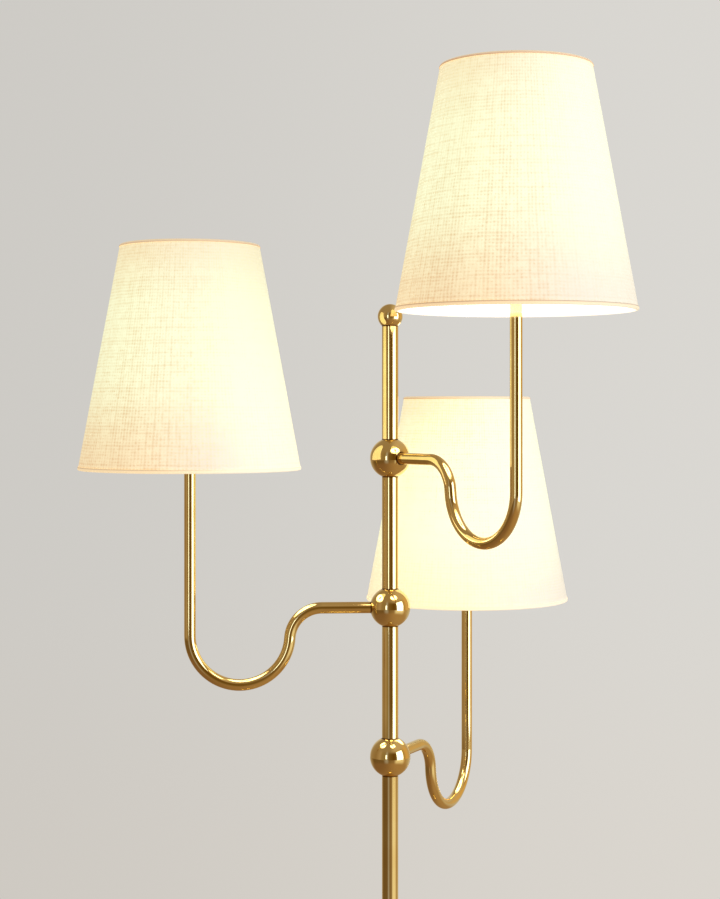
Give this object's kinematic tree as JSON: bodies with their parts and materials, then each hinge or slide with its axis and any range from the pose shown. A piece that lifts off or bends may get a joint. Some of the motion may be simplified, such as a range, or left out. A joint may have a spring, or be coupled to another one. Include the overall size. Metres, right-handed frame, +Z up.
{
  "type": "tree floor lamp",
  "caption": "Free-standing brass tree lamp: a slim column with ball hubs, swan-bent arms that swing, and tapered linen shades over bulbs, on a round weighted base.",
  "frame": {"origin": "on the floor, under the column's axis, at the centre of the base pad's underside", "axes": "+Z up the column, +X to the viewer's right and -Y to the front, as the picture shows it"},
  "size_m": [0.5522, 0.5876, 1.6],
  "materials": {
    "polished_brass": "polished and lacquered",
    "contact_brass": "nickel plated",
    "raw_iron": "as cast",
    "zinc_steel": "zinc plated",
    "white_wire": "powder coated wire",
    "black_felt": "felt",
    "black_bushing": "moulded",
    "white_nylon": "moulded",
    "lead_sheath": "extruded",
    "black_phenolic": "moulded",
    "knob_plastic": "moulded",
    "shade_linen": "plain weave linen",
    "shade_liner": "smooth sheet",
    "hem_tape": "woven tape",
    "bulb_cap": "drawn",
    "frosted_glass": "frosted inside"
  },
  "bodies": {
    "stand": {"base_pad": "black_felt", "base_weight": "raw_iron", "base_cover": "polished_brass", "cord_bushing": "black_bushing", "base_fixings": "zinc_steel", "column_seat": "polished_brass", "column_rod": "zinc_steel", "column_tube_lower": "polished_brass", "column_tube_middle": "polished_brass", "column_tube_upper": "polished_brass", "column_tube_top": "polished_brass", "finial_ball": "polished_brass", "swivel_washers": "white_nylon", "stop_collars": "zinc_steel", "column_lead": "lead_sheath"},
    "arm_upper": {"hub_ball_upper": "polished_brass", "arm_tube_upper": "polished_brass", "arm_lead_upper": "lead_sheath", "socket_cup_upper": "polished_brass", "socket_body_upper": "black_phenolic", "socket_contacts_upper": "contact_brass", "shade_nut_upper": "black_phenolic", "shade_carrier_upper": "white_wire", "shade_bottom_ring_upper": "white_wire", "shade_fabric_upper": "shade_linen", "shade_liner_upper": "shade_liner", "shade_hems_upper": "hem_tape", "bulb_base_upper": "bulb_cap", "bulb_glass_upper": "frosted_glass"},
    "arm_middle": {"hub_ball_middle": "polished_brass", "arm_tube_middle": "polished_brass", "arm_lead_middle": "lead_sheath", "socket_cup_middle": "polished_brass", "socket_body_middle": "black_phenolic", "socket_contacts_middle": "contact_brass", "shade_nut_middle": "black_phenolic", "shade_carrier_middle": "white_wire", "shade_bottom_ring_middle": "white_wire", "shade_fabric_middle": "shade_linen", "shade_liner_middle": "shade_liner", "shade_hems_middle": "hem_tape", "bulb_base_middle": "bulb_cap", "bulb_glass_middle": "frosted_glass"},
    "arm_lower": {"hub_ball_lower": "polished_brass", "arm_tube_lower": "polished_brass", "arm_lead_lower": "lead_sheath", "socket_cup_lower": "polished_brass", "socket_body_lower": "black_phenolic", "socket_contacts_lower": "contact_brass", "shade_nut_lower": "black_phenolic", "shade_carrier_lower": "white_wire", "shade_bottom_ring_lower": "white_wire", "shade_fabric_lower": "shade_linen", "shade_liner_lower": "shade_liner", "shade_hems_lower": "hem_tape", "bulb_base_lower": "bulb_cap", "bulb_glass_lower": "frosted_glass"},
    "knob_upper": {"switch_knob_upper": "knob_plastic"},
    "knob_middle": {"switch_knob_middle": "knob_plastic"},
    "knob_lower": {"switch_knob_lower": "knob_plastic"}
  },
  "joints": [
    {"name": "swivel_upper", "type": "hinge", "parent": "stand", "child": "arm_upper", "pos_m": [0, 0, 1.225], "axis": [0, 0, 1], "range_deg": [-30, 30]},
    {"name": "swivel_middle", "type": "hinge", "parent": "stand", "child": "arm_middle", "pos_m": [0, 0, 1.07], "axis": [0, 0, 1], "range_deg": [-30, 30]},
    {"name": "swivel_lower", "type": "hinge", "parent": "stand", "child": "arm_lower", "pos_m": [0, 0, 0.915], "axis": [0, 0, 1], "range_deg": [-30, 30]},
    {"name": "switch_turn_upper", "type": "hinge", "parent": "arm_upper", "child": "knob_upper", "pos_m": [0.11575, -0.17161, 1.404], "axis": [0.829, 0.5592, 0], "continuous": true},
    {"name": "switch_turn_middle", "type": "hinge", "parent": "arm_middle", "child": "knob_middle", "pos_m": [-0.2065, -0.01444, 1.249], "axis": [0.0698, -0.9976, 0], "continuous": true},
    {"name": "switch_turn_lower", "type": "hinge", "parent": "arm_lower", "child": "knob_lower", "pos_m": [0.09074, 0.18605, 1.094], "axis": [-0.8988, 0.4384, 0], "continuous": true}
  ]
}
